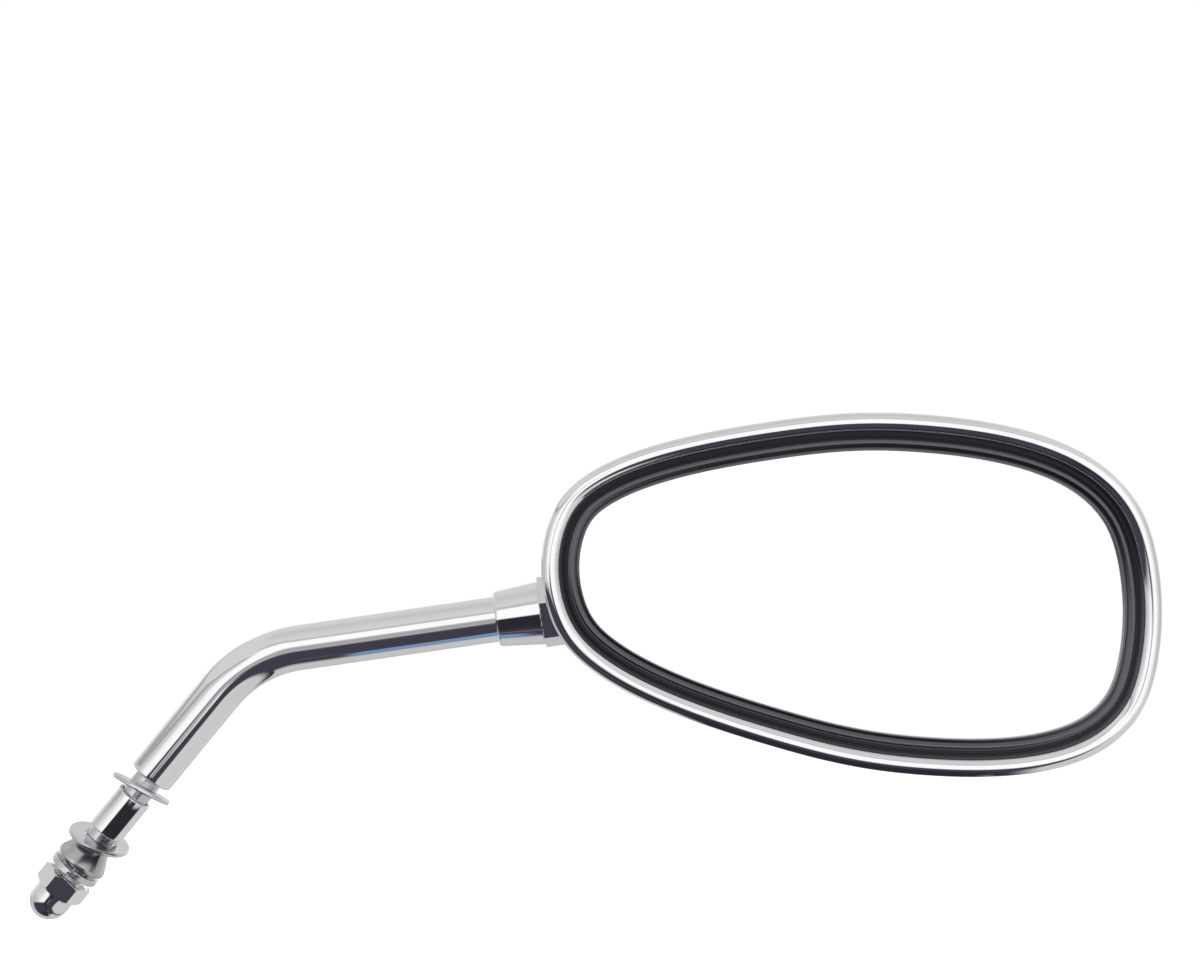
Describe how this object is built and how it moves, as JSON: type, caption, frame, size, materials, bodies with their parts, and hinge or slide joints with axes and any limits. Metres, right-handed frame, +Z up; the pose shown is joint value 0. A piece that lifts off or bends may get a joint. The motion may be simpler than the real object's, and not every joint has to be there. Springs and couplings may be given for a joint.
{
  "type": "motorcycle mirror",
  "caption": "Chrome motorcycle mirror with an egg-shaped head on a ball joint, a bent stem and a threaded mounting stud with washers and an acorn nut.",
  "frame": {"origin": "centre of the stem's lower end face, the shoulder that seats on the bike's mirror perch", "axes": "+X outboard along the head's long side, +Y forwards, away from the rider, +Z up; the glass looks along -Y"},
  "size_m": [0.3037, 0.052, 0.1395],
  "materials": {
    "chrome": "bright chrome plate",
    "zinc_plate": "dull zinc plate",
    "bare_steel": "oiled steel",
    "nylon": "natural nylon",
    "gasket_rubber": "satin black rubber",
    "mirror_glass": "silvered glass"
  },
  "bodies": {
    "stem": {"stem": "chrome", "mount_stud": "zinc_plate", "upper_washer": "zinc_plate", "spacer_sleeve": "chrome", "lower_washer": "zinc_plate", "cone_spacer": "chrome", "lock_washer": "zinc_plate", "acorn_nut": "chrome", "collar": "chrome", "lock_nut": "chrome"},
    "knuckle": {"knuckle": "chrome", "pivot_stud": "zinc_plate", "pivot_washer": "zinc_plate", "pivot_nut": "zinc_plate"},
    "ball_core": {"thrust_washer": "bare_steel", "spring": "bare_steel"},
    "ball_cup": {"friction_cup": "nylon"},
    "head": {"housing": "chrome", "rim_gasket": "gasket_rubber", "glass": "mirror_glass"}
  },
  "joints": [
    {"name": "knuckle_turn", "type": "hinge", "parent": "stem", "child": "knuckle", "pos_m": [0.13995, 0, 0.05013], "axis": [0.9898, 0, 0.1426], "range_deg": [-40, 40]},
    {"name": "head_roll", "type": "hinge", "parent": "knuckle", "child": "ball_core", "pos_m": [0.14348, -0.018, 0.05255], "axis": [-0.1912, 0.9728, -0.1309], "range_deg": [-20, 20]},
    {"name": "head_tilt", "type": "hinge", "parent": "ball_core", "child": "ball_cup", "pos_m": [0.14348, -0.018, 0.05255], "axis": [0.9712, 0.2068, 0.118], "range_deg": [-12, 12]},
    {"name": "head_pan", "type": "hinge", "parent": "ball_cup", "child": "head", "pos_m": [0.14348, -0.018, 0.05255], "axis": [-0.1418, 0.1045, 0.9844], "range_deg": [-12, 12]}
  ]
}
